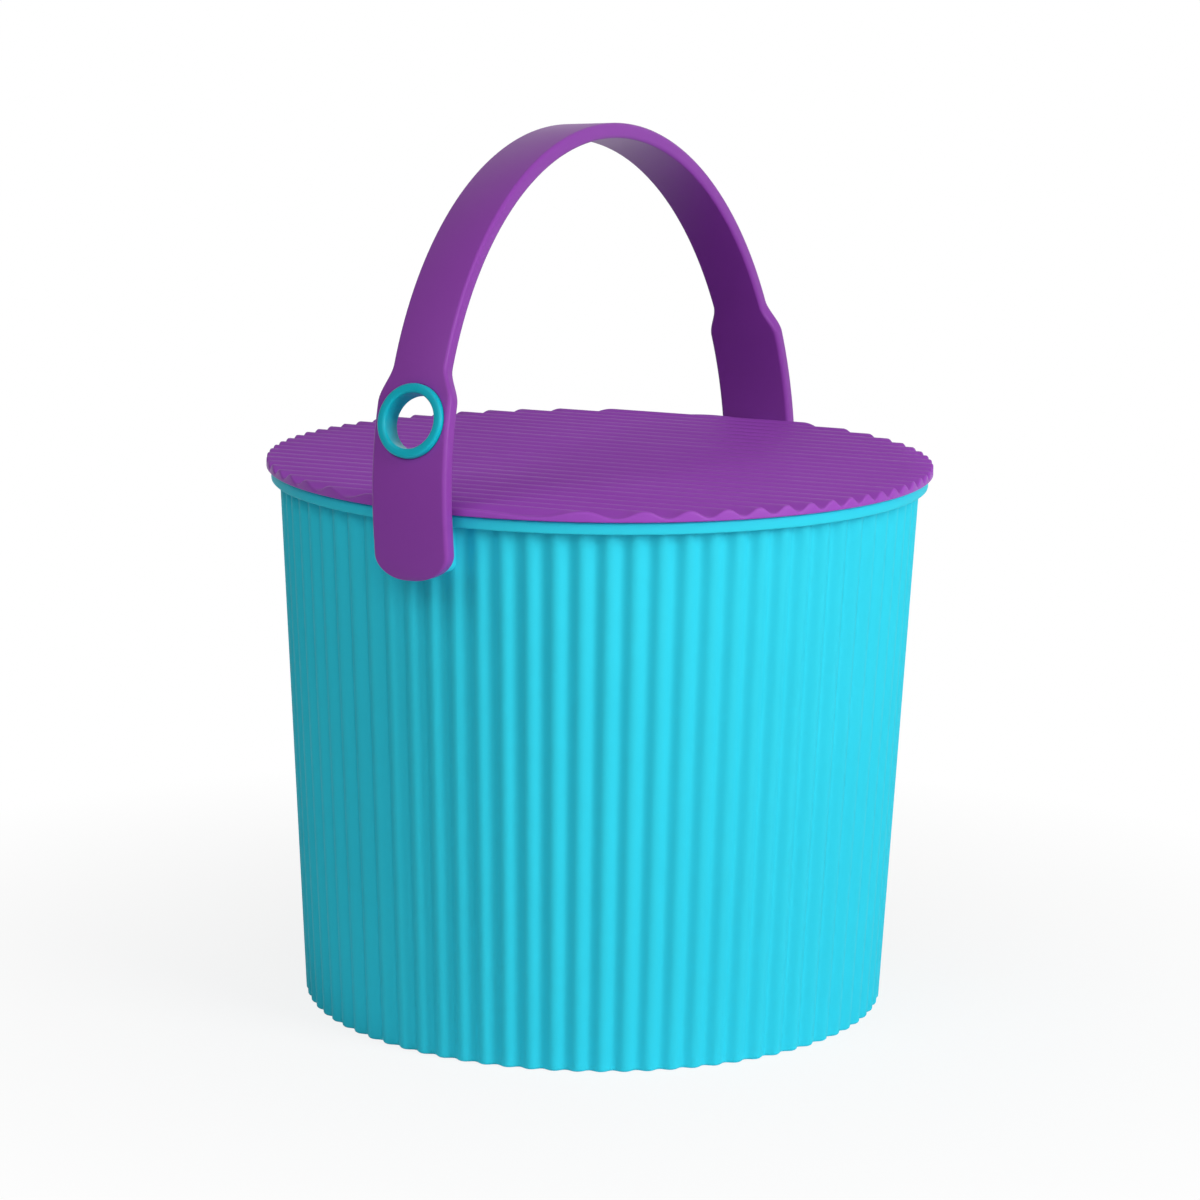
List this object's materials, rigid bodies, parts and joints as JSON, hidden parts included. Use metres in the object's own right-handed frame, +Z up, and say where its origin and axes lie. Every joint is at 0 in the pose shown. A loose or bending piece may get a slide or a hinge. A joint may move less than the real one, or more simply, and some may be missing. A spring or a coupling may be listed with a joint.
{
  "type": "fluted plastic bucket with lid",
  "caption": "Round tapered utility bucket with vertical flutes, a ridged flat lid and a strap handle that swings over it; one handle leg holds a ring.",
  "frame": {"origin": "centre of the base, on the surface the bucket stands on", "axes": "+Z up; X through the two handle studs, with the ring's leg on the -X side; the handle leans 4 degrees towards +Y"},
  "size_m": [0.298, 0.28, 0.3704],
  "materials": {
    "teal_plastic": "satin moulded polypropylene",
    "purple_plastic": "satin moulded polypropylene",
    "deep_teal_plastic": "smooth moulded polypropylene"
  },
  "bodies": {
    "bucket": {"bucket_body": "teal_plastic", "lid": "purple_plastic"},
    "carry_handle": {"handle": "purple_plastic", "handle_ring": "deep_teal_plastic"}
  },
  "joints": [
    {"name": "handle_swing", "type": "hinge", "parent": "bucket", "child": "carry_handle", "pos_m": [0, 0, 0.219], "axis": [1, 0, 0], "range_deg": [-104, 112]}
  ]
}
